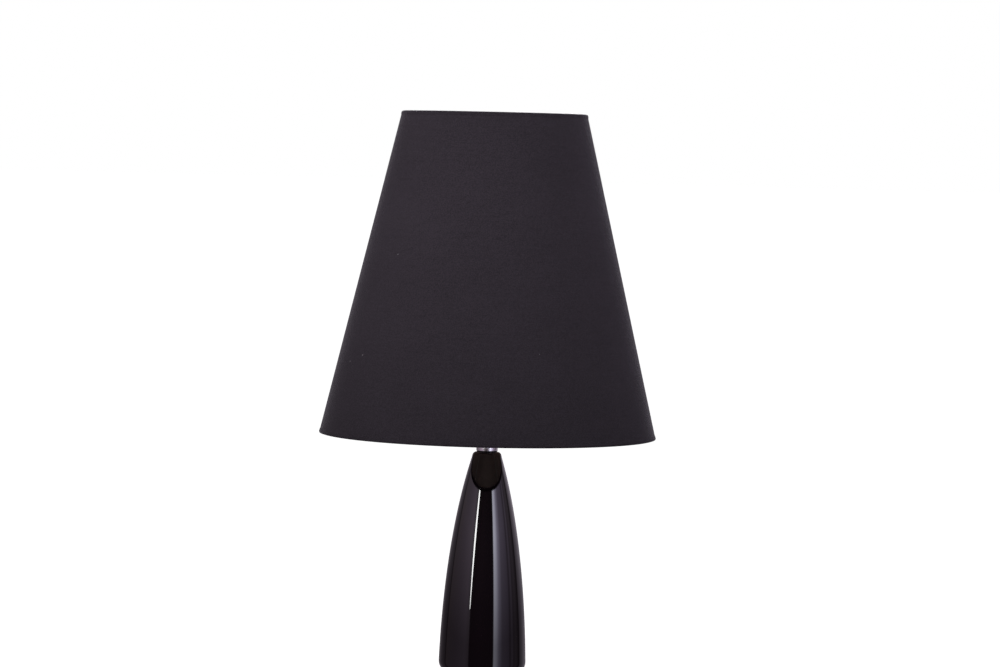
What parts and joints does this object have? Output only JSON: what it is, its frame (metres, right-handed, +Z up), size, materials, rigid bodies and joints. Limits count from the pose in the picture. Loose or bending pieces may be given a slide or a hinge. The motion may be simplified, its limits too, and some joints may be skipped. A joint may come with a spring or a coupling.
{
  "type": "table lamp",
  "caption": "Table lamp: slender glazed ceramic base, short chrome neck, and a large tapered black fabric shade with gold lining on a screw lampholder.",
  "frame": {"origin": "on the lamp's axis at the underside of the felt pad, where it stands on a table", "axes": "+Z up along the lamp's axis, -Y the front, +Y the back where the cord outlet is, +X the right with the push-bar's long button"},
  "size_m": [0.3496, 0.3496, 0.5836],
  "materials": {
    "glaze": "deep glossy black glaze",
    "chrome": "polished chrome plate",
    "zinc": "zinc plated steel",
    "brass": "bare pressed brass",
    "black_plastic": "glossy black phenolic",
    "white_plastic": "plain white nylon",
    "porcelain": "unglazed porcelain",
    "rubber": "matte black rubber",
    "felt": "short black felt",
    "fibre": "pressed red-brown fibre",
    "shade_fabric": "matte black cotton with a fine slub weave",
    "hem_fabric": "the same cotton folded over the rims",
    "gold_lining": "satin gold laminate lining",
    "white_wire": "white powder coated wire",
    "bulb_glass": "frosted white",
    "vitrite": "glossy black fused glass",
    "brown_lead": "brown wire insulation",
    "blue_lead": "blue wire insulation",
    "earth_lead": "green and yellow wire insulation"
  },
  "bodies": {
    "stand": {"ceramic_body": "glaze", "felt_base": "felt", "base_plate": "zinc", "threaded_tube": "zinc", "lock_washer": "zinc", "bottom_nut": "zinc", "earth_tag": "brass", "earth_nut": "zinc", "cord_grommet": "rubber", "terminal_block": "white_plastic", "block_screw_1": "zinc", "block_screw_2": "zinc", "block_screw_3": "zinc", "cord_clamp": "white_plastic", "clamp_screw_1": "zinc", "clamp_screw_2": "zinc", "lead_live": "brown_lead", "lead_neutral": "blue_lead", "lead_earth": "earth_lead", "neck_gasket": "rubber", "neck_ferrule": "chrome", "holder_cap": "black_plastic", "cap_nut": "zinc", "switch_housing": "white_plastic", "contact_insert": "porcelain", "terminal_screw_1": "brass", "terminal_screw_2": "brass", "contact_spring": "zinc", "screw_shell": "brass", "holder_skirt": "black_plastic"},
    "switch": {"switch_bar": "black_plastic", "switch_contact": "brass"},
    "plunger": {"centre_contact": "brass"},
    "bulb": {"bulb_tip": "zinc", "bulb_insulator": "vitrite", "bulb_cap": "zinc", "bulb_globe": "bulb_glass"},
    "washer": {"ring_washer": "fibre"},
    "collar": {"shade_ring": "black_plastic"},
    "shade": {"shade_cover": "shade_fabric", "shade_liner": "gold_lining", "bottom_hem": "hem_fabric", "top_hem": "hem_fabric", "bottom_ring_wire": "white_wire", "top_ring_wire": "white_wire", "fitter_ring": "white_wire", "carrier_arm_1": "white_wire", "carrier_arm_2": "white_wire", "carrier_arm_3": "white_wire"}
  },
  "joints": [
    {"name": "switch_push", "type": "slide", "parent": "stand", "child": "switch", "axis": [1, 0, 0], "range_m": [-0.006, 0]},
    {"name": "plunger_press", "type": "slide", "parent": "stand", "child": "plunger", "axis": [0, 0, 1], "range_m": [-0.0015, 0], "stiffness_N_per_m": 1500, "springref_m": 0.0005, "deforming": ["contact_spring"]},
    {"name": "bulb_turn", "type": "hinge", "parent": "stand", "child": "bulb", "pos_m": [0, 0, 0.29], "axis": [0, 0, 1], "range_deg": [0, 1260]},
    {"name": "washer_lift", "type": "slide", "parent": "stand", "child": "washer", "axis": [0, 0, 1], "range_m": [0, 0.008]},
    {"name": "collar_turn", "type": "hinge", "parent": "washer", "child": "collar", "pos_m": [0, 0, 0.2865], "axis": [0, 0, 1], "range_deg": [0, 1441]},
    {"name": "shade_turn", "type": "hinge", "parent": "stand", "child": "shade", "pos_m": [0, 0, 0.2816], "axis": [0, 0, 1], "continuous": true}
  ],
  "couplings": [
    {"joint": "collar_turn", "follows": "washer_lift", "rad_per_m": 3141.6}
  ]
}
